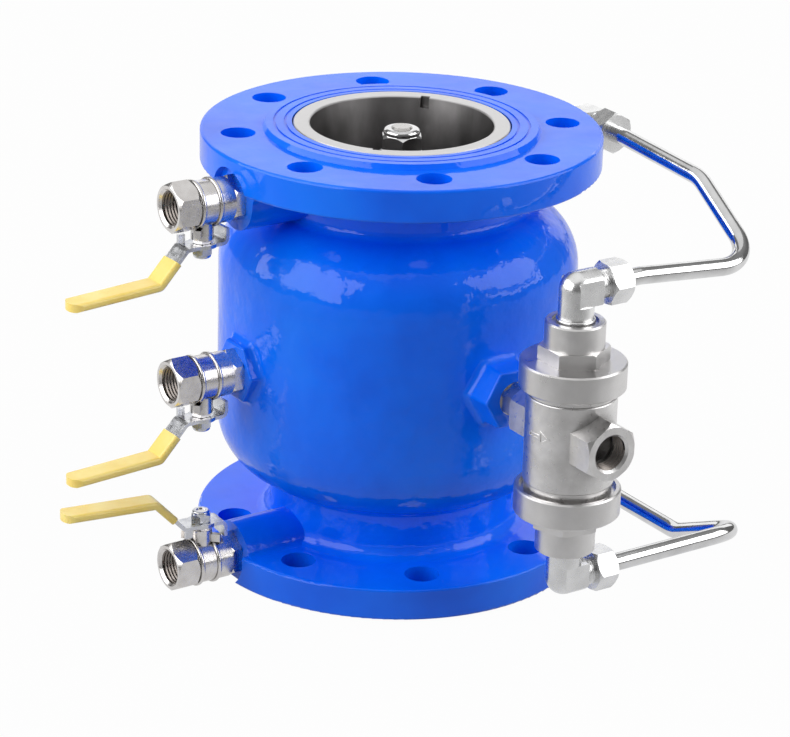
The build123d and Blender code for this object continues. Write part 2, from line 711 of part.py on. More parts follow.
save(relief * relief_body, "relief_body")


def cap(corner_angle):
    """A cap with its mouth at z=0: collar, hexagon and round crown for the pilot elbow."""
    hex_top = collar_height + cap_hex_height
    body = rod((0, 0, 0), UP, collar_r, collar_height)
    collar_edges = circle_edges(body, collar_r, 0) + circle_edges(body, collar_r, collar_height)
    body = chamfer(collar_edges, collar_edge)
    body += hex_bar((0, 0, collar_height), UP, toward(corner_angle), cap_hex, cap_hex_height, cap_hex_bevel)
    crown = rod((0, 0, hex_top), UP, crown_r, crown_height)
    body += chamfer(circle_edges(crown, crown_r, cap_height), collar_edge)
    body -= rod((0, 0, 0), UP, relief_body_r + thread_gap, cap_thread_depth)
    body -= rod((0, 0, 0), UP, cap_mouth_r, cap_mouth_depth)
    body -= rod((0, 0, cap_height), DOWN, crown_recess_r, crown_recess_depth)
    body -= rod((0, 0, cap_thread_depth), UP, cap_spring_r, cap_spring_depth - cap_thread_depth)
    return body - rod((0, 0, hex_top), UP, pilot_hole_r, crown_height)


save(relief * Pos(0, 0, top_mouth) * cap(top_cap_turn), "relief_top_cap")
save(relief * Pos(0, 0, low_mouth) * Rot(180, 0, 0) * cap(-bottom_cap_turn), "relief_bottom_cap")

land_low = relief_port_z - low_land_drop
land_mid = relief_port_z - mid_land_drop
land_top = relief_port_z + top_land_rise
spool_foot = body_bottom + spool_foot_gap
spool_end = land_top + spool_pin
spool = turned([(0, spool_foot), (spool_skirt_r, spool_foot), (spool_skirt_r, land_low),
                (spool_r, land_low), (spool_r, land_low + low_land_width),
                (spool_waist_r, land_low + low_land_width), (spool_waist_r, land_mid), (spool_r, land_mid),
                (spool_r, land_top), (spool_waist_r, land_top), (spool_waist_r, spool_end), (0, spool_end)])
spool_rings = Part()
for ring_z in (land_low + low_ring_rise, land_top - mid_ring_drop, land_top - top_ring_drop):
    spool -= tube((0, 0, ring_z - ring_groove / 2), UP, spool_bore + cut_past, ring_groove_r, ring_groove)
    spool_rings += Pos(0, 0, ring_z) * Torus(ring_r, ring_wire_r)
save(relief * spool, "relief_spool")
save(relief * spool_rings, "relief_spool_rings")
spring_top = top_mouth + cap_spring_depth
relief_spring = coil(relief_spring_r, relief_wire_r, land_top, spring_top, relief_spring_turns)
save(relief * relief_spring, "relief_spring")

rear_y = relief_y + rear_reach
nipple = hex_bar((0, rear_y, relief_port_z), NORTH, UP, nipple_hex, relief_face_y - rear_y, nipple_bevel)
nipple += rod((0, rear_y, relief_port_z), SOUTH, thread_r, nipple_screwed)
nipple += rod((0, relief_face_y, relief_port_z), NORTH, thread_r, nipple_screwed)
nipple -= rod((0, rear_y - nipple_screwed, relief_port_z), NORTH, nipple_bore_r, 4 * nipple_screwed)
save(nipple, "relief_nipple")

# Pilot lines: one elbow drawn with its corner at the origin, screwed in along -Z, tube toward +X
elbow = rod((0, 0, 0), DOWN, elbow_r, elbow_leg)
elbow += rod((0, 0, 0), EAST, elbow_r, elbow_arm)
elbow += Sphere(elbow_r)
foot_bottom = -elbow_leg - crown_recess_depth
foot = rod((0, 0, foot_bottom), UP, foot_r, foot_height)
elbow += fillet(circle_edges(foot, foot_r, foot_bottom + foot_height), foot_round)
cheek_x = (elbow_arm - cheek_back) / 2
cheek_z = (cheek_up - cheek_down) / 2
cheek = Box(elbow_arm + cheek_back, 2 * cheek_half, cheek_up + cheek_down)
elbow += Pos(cheek_x, 0, cheek_z) * chamfer(cheek.edges().filter_by(Axis.Y), cheek_edge)
relieve = Box(elbow_arm + cheek_back, elbow_r - cheek_half, cheek_up + cheek_down)
for side in (1, -1):
    elbow -= Pos(cheek_x, side * (elbow_r + cheek_half) / 2, cheek_z) * relieve
elbow += rod((0, 0, -elbow_leg), DOWN, pilot_thread_r, elbow_screw)
elbow += rod((elbow_arm, 0, 0), EAST, male_r, elbow_end - elbow_arm)
elbow -= rod((0, 0, 0), DOWN, elbow_bore_r, 2 * elbow_leg)
elbow -= rod((0, 0, 0), EAST, elbow_bore_r, elbow_end)
elbow -= rod((tube_seat - seat_clear, 0, 0), EAST, tube_r + tube_gap, elbow_end)

tube_nut = hex_bar((nut_start, 0, 0), EAST, SOUTH, nut_hex, nut_length, nut_bevel)
tube_nut -= rod((nut_start, 0, 0), EAST, male_r + thread_gap, nut_thread)
tube_nut -= rod((nut_start, 0, 0), EAST, tube_r + tube_gap, nut_length)
ferrule_start = (elbow_end + ferrule_gap, 0, 0)
ferrule = tube(ferrule_start, EAST, male_r - ferrule_gap, tube_r + tube_gap / 2, ferrule_length)
ferrule = chamfer(ferrule.edges().filter_by(GeomType.CIRCLE).group_by(SortBy.RADIUS)[-1], ferrule_edge)

top_corner = top_mouth + cap_height + elbow_leg
low_corner = low_mouth - cap_height - elbow_leg
pilot_corner = pilot_face_x + elbow_leg
upper_plane = Plane(origin=(pilot_corner, 0, upper_pilot_z), x_dir=SOUTH, z_dir=EAST)
lower_plane = Plane(origin=(pilot_corner, 0, lower_pilot_z), x_dir=SOUTH, z_dir=EAST)
elbow_places = {
    "relief_top_elbow": relief * Pos(0, 0, top_corner),
    "relief_bottom_elbow": relief * Pos(0, 0, low_corner) * Rot(180, 0, 0),
    "upper_pilot_elbow": Location(upper_plane),
    "lower_pilot_elbow": Location(lower_plane),
}
tube_nuts = Part()
ferrules = Part()
for name, place in elbow_places.items():
    save(place * elbow, name)
    tube_nuts += place * tube_nut
    ferrules += place * ferrule
save(tube_nuts, "tube_nuts")
save(ferrules, "tube_ferrules")

# Pilot lines: bent tubes, each leaving the relief valve toward +X and reaching its elbow along +Y
upper_run = FilletPolyline((tube_seat, relief_y, top_corner),
                           (pilot_straight, relief_y, top_corner),
                           (upper_run_x, relief_y, top_corner - upper_run_drop),
                           (pilot_corner, upper_knee_y, upper_pilot_z - upper_knee_drop),
                           (pilot_corner, -pilot_straight, upper_pilot_z),
                           (pilot_corner, -tube_seat, upper_pilot_z), radius=tube_bend_r)
lower_run = FilletPolyline((tube_seat, relief_y, low_corner),
                           (pilot_corner, relief_y, low_corner),
                           (pilot_corner, lower_knee_y, lower_pilot_z),
                           (pilot_corner, -tube_seat, lower_pilot_z), radius=tube_bend_r)
for name, run in (("upper_pilot_tube", upper_run), ("lower_pilot_tube", lower_run)):
    end_plane = Plane(origin=run @ 0, z_dir=run % 0)
    save(sweep(end_plane * Circle(tube_r), run) - sweep(end_plane * Circle(tube_bore_r), run), name)
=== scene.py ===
import json
import math

import bpy
from mathutils import Matrix, Vector


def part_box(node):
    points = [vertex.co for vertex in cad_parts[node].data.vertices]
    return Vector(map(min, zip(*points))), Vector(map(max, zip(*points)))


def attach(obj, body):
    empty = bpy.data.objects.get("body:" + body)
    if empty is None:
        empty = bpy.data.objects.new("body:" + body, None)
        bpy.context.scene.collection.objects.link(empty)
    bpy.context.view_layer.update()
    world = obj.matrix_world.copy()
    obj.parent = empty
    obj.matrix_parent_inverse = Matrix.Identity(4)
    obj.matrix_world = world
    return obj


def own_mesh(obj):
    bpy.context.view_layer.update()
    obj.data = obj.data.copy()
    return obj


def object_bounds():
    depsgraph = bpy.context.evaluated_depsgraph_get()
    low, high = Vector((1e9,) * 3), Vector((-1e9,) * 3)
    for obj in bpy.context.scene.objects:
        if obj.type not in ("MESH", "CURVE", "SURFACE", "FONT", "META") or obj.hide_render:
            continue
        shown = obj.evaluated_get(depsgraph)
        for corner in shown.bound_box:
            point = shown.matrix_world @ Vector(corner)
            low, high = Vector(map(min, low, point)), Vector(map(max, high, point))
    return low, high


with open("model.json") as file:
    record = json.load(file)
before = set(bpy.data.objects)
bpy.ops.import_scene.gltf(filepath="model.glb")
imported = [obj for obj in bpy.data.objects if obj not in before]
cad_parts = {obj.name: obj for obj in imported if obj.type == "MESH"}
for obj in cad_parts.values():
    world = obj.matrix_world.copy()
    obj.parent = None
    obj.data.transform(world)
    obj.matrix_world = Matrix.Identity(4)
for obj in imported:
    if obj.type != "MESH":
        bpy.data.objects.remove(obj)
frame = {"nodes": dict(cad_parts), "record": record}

CAD_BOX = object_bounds()
NODES = frame["nodes"]

# Camera of the photograph: turned left, looking down, slightly leaning, framed low
VIEW_AZIMUTH = math.radians(-33.77)
VIEW_ELEVATION = math.radians(20.68)
VIEW_LEAN = math.radians(1.62)
VIEW_DISTANCE = 1.730
VIEW_TARGET = Vector((0.0018, 0.0013, 0.1347))
PHOTO_WIDTH = 790
FOCAL_PIXELS = 3098.5
FRAME_RIGHT_PIXELS = 2.9
FRAME_UP_PIXELS = 49.5
SENSOR_MM = 36.0
FRONT = (math.sin(VIEW_AZIMUTH), -math.cos(VIEW_AZIMUTH), 0.0)

# Threads and cast marks
G_HALF_PITCH = 0.001814
G_HALF_RIDGE = 0.00062
FINE_PITCH = 0.001
FINE_RIDGE = 0.00036
ELBOW_R = 0.0094
ELBOW_MALE_R = 0.0074
ELBOW_THREAD_FROM = 0.0117
ELBOW_THREAD_LENGTH = 0.0044
THREAD_STEPS = 40
THREAD_SMOOTH = math.radians(50)
ARROW_HEIGHT = 0.131
ARROW_TURN = math.radians(-169.8)
ARROW_CLEAR = 0.027
ARROW_LINE = 0.0008
ARROW_SHAFT_WIDTH = 0.0026
ARROW_SHAFT_STRETCH = 3.2
ARROW_SHAFT_BACK = -0.0032
ARROW_HEAD_R = 0.0042
ARROW_HEAD_FORWARD = 0.0030
ARROW_THICK = 0.0008
ARROW_EDGE = 0.00015
ARROW_SMOOTH = math.radians(40)

# Where the casting is machined: flat faces, and the flange rims beyond this radius
FLAT_FROM = 0.93
FLAT_FULL = 0.995
RIM_FROM = 0.1068
RIM_FULL = 0.1085
FACED_SHARE = 0.22

# The upper seat ring's faced top, which is the top of the CAD box; below this band the ring's bore is painted
# dark as shade
RING_TOP = CAD_BOX[1][2]
RING_TOP_BAND = (0.0008, 0.0001)

# Painted shade in bores and corners: how far it reaches and the dark colour painted there
SHADE_PAINT_REACH = 0.016
PAINTED_SHADE_TONE = (0.050, 0.045, 0.041, 1.0)

# Bands of a wave texture are this far apart at scale 1
WAVE_SPACING = 0.314
TURNING_PITCH = 0.00032
BORING_PITCH = 0.0006

# Studio: the floor lies just under the object, and a bright sheet behind shows in its gloss
FLOOR_SIZE = 14
FLOOR_DROP = -0.0002
FLOOR_TONE = (0.38, 0.38, 0.38, 1)
FLOOR_WHITE_SHARE = 0.975
SHEET_SHARES = (0.78, 0.05)
SHEET_BAND = (0.02, 0.40)


def deselect():
    for other in bpy.context.selected_objects:
        other.select_set(False)


def settle(piece):
    """Puts a finished piece's place into its mesh."""
    deselect()
    piece.select_set(True)
    bpy.context.view_layer.objects.active = piece
    bpy.ops.object.transform_apply(location=True, rotation=True, scale=True)
    return piece


def outward(piece):
    """Closes doubled seams and turns the faces outward."""
    deselect()
    piece.select_set(True)
    bpy.context.view_layer.objects.active = piece
    bpy.ops.object.mode_set(mode="EDIT")
    bpy.ops.mesh.select_all(action="SELECT")
    bpy.ops.mesh.remove_doubles(threshold=0.000002)
    bpy.ops.mesh.normals_make_consistent(inside=False)
    bpy.ops.object.mode_set(mode="OBJECT")
    return piece


# Node helpers for the materials
def material(name):
    made = bpy.data.materials.new(name)
    made.use_nodes = True
    return made, made.node_tree, made.node_tree.nodes["Principled BSDF"]


def grain(tree, scale, detail=4.0, stretch=(1.0, 1.0, 1.0), rough=0.5):
    """Noise on object coordinates; stretch squeezes it along an axis."""
    place = tree.nodes.new("ShaderNodeTexCoord")
    mapping = tree.nodes.new("ShaderNodeMapping")
    mapping.inputs["Scale"].default_value = stretch
    noise = tree.nodes.new("ShaderNodeTexNoise")
    noise.inputs["Scale"].default_value = scale
    noise.inputs["Detail"].default_value = detail
    noise.inputs["Roughness"].default_value = rough
    tree.links.new(place.outputs["Object"], mapping.inputs["Vector"])
    tree.links.new(mapping.outputs["Vector"], noise.inputs["Vector"])
    return noise.outputs["Fac"]


def shades(tree, amount, stops):
    """A colour ramp; stops are (position, colour) pairs."""
    ramp = tree.nodes.new("ShaderNodeValToRGB")
    ramp.color_ramp.elements[0].position = stops[0][0]
    ramp.color_ramp.elements[0].color = (*stops[0][1], 1.0)
    ramp.color_ramp.elements[1].position = stops[-1][0]
    ramp.color_ramp.elements[1].color = (*stops[-1][1], 1.0)
    for position, colour in stops[1:-1]:
        ramp.color_ramp.elements.new(position).color = (*colour, 1.0)
    tree.links.new(amount, ramp.inputs["Fac"])
    return ramp.outputs["Color"]


def span(tree, amount, low, high, start=0.3, end=0.7):
    """Spreads a noise over a range of values."""
    spread = tree.nodes.new("ShaderNodeMapRange")
    spread.inputs["From Min"].default_value = start
    spread.inputs["From Max"].default_value = end
    spread.inputs["To Min"].default_value = low
    spread.inputs["To Max"].default_value = high
    tree.links.new(amount, spread.inputs["Value"])
    return spread.outputs["Result"]


def cast_only(tree):
    """1 on the cast skin and small on the faced flange tops and turned flange rims."""
    place = tree.nodes.new("ShaderNodeTexCoord")
    facing = tree.nodes.new("ShaderNodeSeparateXYZ")
    tree.links.new(place.outputs["Normal"], facing.inputs["Vector"])
    level = tree.nodes.new("ShaderNodeMath")
    level.operation = "ABSOLUTE"
    tree.links.new(facing.outputs["Z"], level.inputs[0])
    flat = span(tree, level.outputs["Value"], 0.0, 1.0, FLAT_FROM, FLAT_FULL)
    across = tree.nodes.new("ShaderNodeVectorMath")
    across.operation = "MULTIPLY"
    across.inputs[1].default_value = (1.0, 1.0, 0.0)
    reach = tree.nodes.new("ShaderNodeVectorMath")
    reach.operation = "LENGTH"
    tree.links.new(place.outputs["Object"], across.inputs[0])
    tree.links.new(across.outputs["Vector"], reach.inputs[0])
    rim = span(tree, reach.outputs["Value"], 0.0, 1.0, RIM_FROM, RIM_FULL)
    either = tree.nodes.new("ShaderNodeMath")
    either.operation = "MAXIMUM"
    tree.links.new(flat, either.inputs[0])
    tree.links.new(rim, either.inputs[1])
    return span(tree, either.outputs["Value"], 1.0, FACED_SHARE, 0.0, 1.0)


def relief_bump(tree, shader, layers, coat=False, share=None):
    """Stacks bumps from (height, distance, strength) layers and feeds the shader's normals."""
    below = None
    for height, distance, strength in layers:
        bump = tree.nodes.new("ShaderNodeBump")
        bump.inputs["Distance"].default_value = distance
        bump.inputs["Strength"].default_value = strength
        if share:
            scaled = tree.nodes.new("ShaderNodeMath")
            scaled.operation = "MULTIPLY"
            scaled.inputs[1].default_value = strength
            tree.links.new(share, scaled.inputs[0])
            tree.links.new(scaled.outputs["Value"], bump.inputs["Strength"])
        tree.links.new(height, bump.inputs["Height"])
        if below:
            tree.links.new(below, bump.inputs["Normal"])
        below = bump.outputs["Normal"]
    tree.links.new(below, shader.inputs["Normal"])
    if coat:
        tree.links.new(below, shader.inputs["Coat Normal"])


def paint_shade_in_hollows(tree, tone, shader):
    """Paints shade into a metal's colour where it lies deep in a bore or a corner."""
    # Painted shade: ambient occlusion darkens the colour towards a near-black tone in the piece's own bores
    # and corners
    occlusion = tree.nodes.new("ShaderNodeAmbientOcclusion")
    occlusion.samples = 8
    occlusion.only_local = True
    occlusion.inputs["Distance"].default_value = SHADE_PAINT_REACH
    open_share = span(tree, occlusion.outputs["AO"], 0.0, 1.0, 0.22, 0.80)
    blend = tree.nodes.new("ShaderNodeMix")
    blend.data_type = "RGBA"
    blend.inputs[6].default_value = PAINTED_SHADE_TONE
    tree.links.new(open_share, blend.inputs["Factor"])
    tree.links.new(tone, blend.inputs[7])
    tree.links.new(blend.outputs[2], shader.inputs["Base Color"])


def rings(tree, spacing, axis, wander=0.6):
    """Fine turning marks: bands across one axis, a little uneven."""
    place = tree.nodes.new("ShaderNodeTexCoord")
    wave = tree.nodes.new("ShaderNodeTexWave")
    wave.wave_type = "BANDS"
    wave.bands_direction = axis
    wave.inputs["Scale"].default_value = WAVE_SPACING / spacing
    wave.inputs["Distortion"].default_value = wander
    wave.inputs["Detail"].default_value = 3.0
    wave.inputs["Detail Scale"].default_value = 2.0
    tree.links.new(place.outputs["Object"], wave.inputs["Vector"])
    return wave.outputs["Fac"]


# Finishes of the real object
def paint_blue_enamel():
    """Thick glossy enamel over a sand casting: sags, lumps of the sand and orange peel."""
    made, tree, shader = material("blue_enamel")
    depth = grain(tree, 16.0, 3.0)
    tone = shades(tree, depth, (
        (0.30, (0.000, 0.112, 0.84)),
        (0.50, (0.000, 0.148, 0.97)),
        (0.72, (0.000, 0.178, 1.00)),
    ))
    tree.links.new(tone, shader.inputs["Base Color"])
    sheen = grain(tree, 60.0, 3.0)
    tree.links.new(span(tree, sheen, 0.34, 0.46), shader.inputs["Roughness"])
    shader.inputs["Specular IOR Level"].default_value = 0.05
    shader.inputs["Coat Weight"].default_value = 0.75
    shader.inputs["Coat Roughness"].default_value = 0.025
    shader.inputs["Coat IOR"].default_value = 1.42
    sag = grain(tree, 24.0, 2.0, (1.0, 1.0, 0.5))
    sand = grain(tree, 70.0, 2.0)
    lump = grain(tree, 170.0, 2.0)
    peel = grain(tree, 480.0, 1.0)
    layers = ((sag, 0.0030, 0.7), (sand, 0.0011, 0.6), (lump, 0.00040, 0.6), (peel, 0.00006, 0.4))
    relief_bump(tree, shader, layers, coat=True, share=cast_only(tree))
    return made


def cast_steel():
    """Investment cast stainless: pale warm grey with a fine blasted skin."""
    made, tree, shader = material("cast_stainless")
    cloud = grain(tree, 90.0, 5.0)
    tone = shades(tree, cloud, ((0.30, (0.62, 0.61, 0.605)), (0.70, (0.80, 0.79, 0.785))))
    # Painted shade in the bores and corners of the cast steel
    paint_shade_in_hollows(tree, tone, shader)
    shader.inputs["Metallic"].default_value = 1.0
    tree.links.new(span(tree, grain(tree, 400.0, 3.0), 0.26, 0.38), shader.inputs["Roughness"])
    blast = grain(tree, 1500.0, 3.0)
    skin = grain(tree, 260.0, 3.0)
    relief_bump(tree, shader, ((skin, 0.00022, 0.5), (blast, 0.00006, 0.5)))
    return made


def turned_steel(name, dark, pale, axis="Z", low=0.24, high=0.38):
    """Lathe-turned stainless with fine rings round one axis."""
    made, tree, shader = material(name)
    marks = rings(tree, TURNING_PITCH, axis)
    cloud = grain(tree, 70.0, 4.0)
    mix = tree.nodes.new("ShaderNodeMix")
    mix.inputs["Factor"].default_value = 0.35
    tree.links.new(cloud, mix.inputs["A"])
    tree.links.new(marks, mix.inputs["B"])
    tone = shades(tree, mix.outputs["Result"], ((0.25, dark), (0.75, pale)))
    tree.links.new(tone, shader.inputs["Base Color"])
    shader.inputs["Metallic"].default_value = 1.0
    tree.links.new(span(tree, cloud, low, high), shader.inputs["Roughness"])
    skin = grain(tree, 500.0, 2.0)
    relief_bump(tree, shader, ((marks, 0.00003, 0.45), (skin, 0.00005, 0.3)))
    return made


def bored_ring():
    """Seat ring: the faced top is pale, and the bore below it is painted dark as shade, with a cloudy tone
    and tool marks.
    """
    made, tree, shader = material("bored_ring")
    place = tree.nodes.new("ShaderNodeTexCoord")
    split = tree.nodes.new("ShaderNodeSeparateXYZ")
    tree.links.new(place.outputs["Object"], split.inputs["Vector"])
    # Painted shade: below the faced top the ring's bore takes the dark copy of the metal, and the top takes
    # the pale copy
    face = span(tree, split.outputs["Z"], 0.0, 1.0, RING_TOP - RING_TOP_BAND[0], RING_TOP - RING_TOP_BAND[1])
    marks = rings(tree, BORING_PITCH, "Z", 1.5)
    cloud = grain(tree, 38.0, 5.0, (1.0, 1.0, 0.4))
    dark = shades(tree, cloud, ((0.30, (0.14, 0.135, 0.135)), (0.72, (0.36, 0.35, 0.35))))
    pale = shades(tree, cloud, ((0.30, (0.62, 0.61, 0.61)), (0.70, (0.78, 0.77, 0.77))))
    both = tree.nodes.new("ShaderNodeMix")
    both.data_type = "RGBA"
    tree.links.new(face, both.inputs["Factor"])
    tree.links.new(dark, both.inputs[6])
    tree.links.new(pale, both.inputs[7])
    tree.links.new(both.outputs[2], shader.inputs["Base Color"])
    shader.inputs["Metallic"].default_value = 1.0
    tree.links.new(span(tree, cloud, 0.30, 0.44), shader.inputs["Roughness"])
    skin = grain(tree, 420.0, 3.0)
    relief_bump(tree, shader, ((marks, 0.00003, 0.5), (skin, 0.00008, 0.4)))
    return made


def nickel_plate():
    """Forged brass, fine blasted and nickel plated, a little warm."""
    made, tree, shader = material("nickel_brass")
    cloud = grain(tree, 150.0, 4.0)
    tone = shades(tree, cloud, ((0.30, (0.62, 0.595, 0.58)), (0.70, (0.76, 0.74, 0.725))))
    # Painted shade in the bores and corners of the nickel plate
    paint_shade_in_hollows(tree, tone, shader)
    shader.inputs["Metallic"].default_value = 1.0
    tree.links.new(span(tree, grain(tree, 500.0, 3.0), 0.20, 0.30), shader.inputs["Roughness"])
    pit = grain(tree, 1900.0, 4.0)
    skin = grain(tree, 420.0, 3.0)
    relief_bump(tree, shader, ((skin, 0.00003, 0.4), (pit, 0.000018, 0.6)))
    return made


def bright_plate(name, rough_low, rough_high, ripple, dark=0.62, pale=0.78):
    """Polished plated metal; ripple is the depth of its unevenness."""
    made, tree, shader = material(name)
    cloud = grain(tree, 80.0, 3.0)
    tone = shades(tree, cloud, ((0.30, (dark, dark, dark)), (0.70, (pale, pale, pale))))
    tree.links.new(tone, shader.inputs["Base Color"])
    shader.inputs["Metallic"].default_value = 1.0
    tree.links.new(span(tree, grain(tree, 240.0, 3.0), rough_low, rough_high), shader.inputs["Roughness"])
    wave = grain(tree, 160.0, 2.0)
    fine = grain(tree, 1300.0, 3.0)
    relief_bump(tree, shader, ((wave, ripple, 0.5), (fine, 0.00003, 0.5)))
    return made


def zinc_plate():
    """Stamped steel with bright zinc, faint blue-grey spangle."""
    made, tree, shader = material("zinc_steel")
    cloud = grain(tree, 120.0, 5.0)
    tone = shades(tree, cloud, ((0.28, (0.52, 0.53, 0.56)), (0.72, (0.74, 0.75, 0.77))))
    tree.links.new(tone, shader.inputs["Base Color"])
    shader.inputs["Metallic"].default_value = 1.0
    tree.links.new(span(tree, grain(tree, 320.0, 3.0), 0.18, 0.34), shader.inputs["Roughness"])
    relief_bump(tree, shader, ((grain(tree, 420.0, 3.0), 0.00002, 0.4),))
    return made


def dipped_vinyl():
    """Soft yellow dip on the levers: rounded gloss with slight runs."""
    made, tree, shader = material("yellow_vinyl")
    cloud = grain(tree, 55.0, 3.0)
    tone = shades(tree, cloud, ((0.30, (0.96, 0.69, 0.14)), (0.70, (1.00, 0.79, 0.25))))
    tree.links.new(tone, shader.inputs["Base Color"])
    tree.links.new(span(tree, grain(tree, 180.0, 3.0), 0.30, 0.42), shader.inputs["Roughness"])
    shader.inputs["Subsurface Weight"].default_value = 0.12
    shader.inputs["Subsurface Scale"].default_value = 0.002
    shader.inputs["Subsurface Radius"].default_value = (1.0, 0.6, 0.2)
    shader.inputs["Coat Weight"].default_value = 0.35
    shader.inputs["Coat Roughness"].default_value = 0.16
    run = grain(tree, 70.0, 2.0)
    fine = grain(tree, 900.0, 2.0)
    relief_bump(tree, shader, ((run, 0.0006, 0.35), (fine, 0.00003, 0.25)))
    return made


def seal_rubber():
    """Black moulded rubber, matt with a fine skin."""
    made, tree, shader = material("seal_rubber")
    cloud = grain(tree, 200.0, 4.0)
    tone = shades(tree, cloud, ((0.3, (0.012, 0.012, 0.012)), (0.7, (0.035, 0.035, 0.036))))
    tree.links.new(tone, shader.inputs["Base Color"])
    tree.links.new(span(tree, cloud, 0.5, 0.7), shader.inputs["Roughness"])
    relief_bump(tree, shader, ((grain(tree, 900.0, 3.0), 0.00005, 0.5),))
    return made


def white_ptfe():
    """Waxy white ball seats."""
    made, tree, shader = material("white_ptfe")
    cloud = grain(tree, 120.0, 3.0)
    tone = shades(tree, cloud, ((0.3, (0.78, 0.78, 0.76)), (0.7, (0.86, 0.86, 0.84))))
    tree.links.new(tone, shader.inputs["Base Color"])
    tree.links.new(span(tree, cloud, 0.38, 0.5), shader.inputs["Roughness"])
    shader.inputs["Subsurface Weight"].default_value = 0.1
    shader.inputs["Subsurface Scale"].default_value = 0.001
    relief_bump(tree, shader, ((grain(tree, 700.0, 2.0), 0.00003, 0.4),))
    return made


FINISHES = {
    "blue_enamel": paint_blue_enamel(),
    "cast_stainless": cast_steel(),
    "turned_stainless": turned_steel("turned_stainless", (0.46, 0.445, 0.43), (0.66, 0.645, 0.63)),
    "turned_caps": turned_steel("turned_caps", (0.58, 0.57, 0.565), (0.76, 0.75, 0.745), low=0.26, high=0.38),
    "bored_ring": bored_ring(),
    "nickel_brass": nickel_plate(),
    # Painted shade: the mouth threads get a dark copy of turned steel, for the shade inside the bores
    "thread_dark_as_shade": turned_steel("thread_dark_as_shade", (0.13, 0.115, 0.105), (0.30, 0.27, 0.25)),
    "bright_fittings": bright_plate("bright_fittings", 0.22, 0.32, 0.00006, 0.68, 0.84),
    "bright_tube": bright_plate("bright_tube", 0.06, 0.13, 0.00005),
    "polished_ball": bright_plate("polished_ball", 0.04, 0.09, 0.00004),
    "spring_wire": turned_steel("spring_wire", (0.42, 0.42, 0.43), (0.60, 0.60, 0.61)),
    "zinc_steel": zinc_plate(),
    "yellow_vinyl": dipped_vinyl(),
    "seal_rubber": seal_rubber(),
    "white_ptfe": white_ptfe(),
}

SPECIAL_FINISH = {
    "inlet_seat_ring": "bored_ring",
    "inlet_lock_nut": "bright_tube",
    "relief_top_cap": "turned_caps",
    "relief_bottom_cap": "turned_caps",
    "upper_pilot_tube": "bright_tube",
    "lower_pilot_tube": "bright_tube",
}


def wear(piece, finish):
    piece.data.materials.clear()
    piece.data.materials.append(FINISHES[finish])


def dress_nodes():
    """Gives each CAD node its finish, from the record's slot unless it has a special one."""
    slots = {part["node"]: part["material_slot"] for part in frame["record"]["subparts"]}
    for name, node in NODES.items():
        wear(node, SPECIAL_FINISH.get(name, slots[name]))


def squeeze_springs():
    """Gives each spring that a joint deforms a mesh of its own."""
    for joint in frame["record"]["behaviour"]["joints"]:
        for held in joint.get("deforming_nodes", ()):
            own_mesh(NODES[held["node"]])


dress_nodes()
squeeze_springs()


def middle(node):
    low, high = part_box(node)
    return (Vector(low) + Vector(high)) / 2


# Threads: a small diamond profile wound round the axis of a hole or end
def thread(name, start, axis, wall_r, ridge, pitch, length, body, finish):
    """Winds a ridge of diamond section, half sunk in the wall, from start along +axis."""
    sideways = {"X": (0, wall_r, 0), "Y": (wall_r, 0, 0)}[axis]
    deselect()
    bpy.ops.mesh.primitive_circle_add(vertices=4, radius=ridge, location=start)
    piece = bpy.context.object
    piece.name = name
    bpy.ops.object.mode_set(mode="EDIT")
    bpy.ops.mesh.select_all(action="SELECT")
    bpy.ops.transform.translate(value=sideways)
    bpy.ops.object.mode_set(mode="OBJECT")
    winding = piece.modifiers.new("winding", "SCREW")
    winding.axis = axis
    winding.angle = math.radians(360)
    winding.screw_offset = pitch
    winding.iterations = max(1, round(length / pitch))
    winding.steps = THREAD_STEPS
    winding.render_steps = THREAD_STEPS
    bpy.ops.object.modifier_apply(modifier="winding")
    bpy.ops.object.mode_set(mode="EDIT")
    bpy.ops.mesh.select_all(action="DESELECT")
    bpy.ops.mesh.select_non_manifold()
    bpy.ops.mesh.edge_face_add()
    bpy.ops.object.mode_set(mode="OBJECT")
    settle(piece)
    outward(piece)
    deselect()
    piece.select_set(True)
    bpy.ops.object.shade_smooth_by_angle(angle=THREAD_SMOOTH)
    wear(piece, finish)
    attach(piece, body)
    return piece


def mouth_threads():
    """Female threads of the three cocks and of the relief valve's drain."""
    for mount in frame["record"]["mounts"]:
        if mount["kind"] != "threaded_hole":
            continue
        wall_r = mount["dims"]["r_mm"] / 1000
        length = mount["dims"]["length_mm"] / 1000 - G_HALF_PITCH
        start = Vector(mount["pos_m"])
        inward = -Vector(mount["axis"])
        start = start + inward * G_HALF_RIDGE
        # The mouth threads wear a dark finish that paints the shade inside the bores
        if mount["name"] == "relief_drain":
            thread("drain_thread", start, "Y", wall_r, G_HALF_RIDGE, G_HALF_PITCH, length,
                   "valve", "thread_dark_as_shade")
        else:
            number = mount["name"][-1]
            thread(f"cock_{number}_thread", start, "X", wall_r, G_HALF_RIDGE, G_HALF_PITCH, length,
                   "valve", "thread_dark_as_shade")


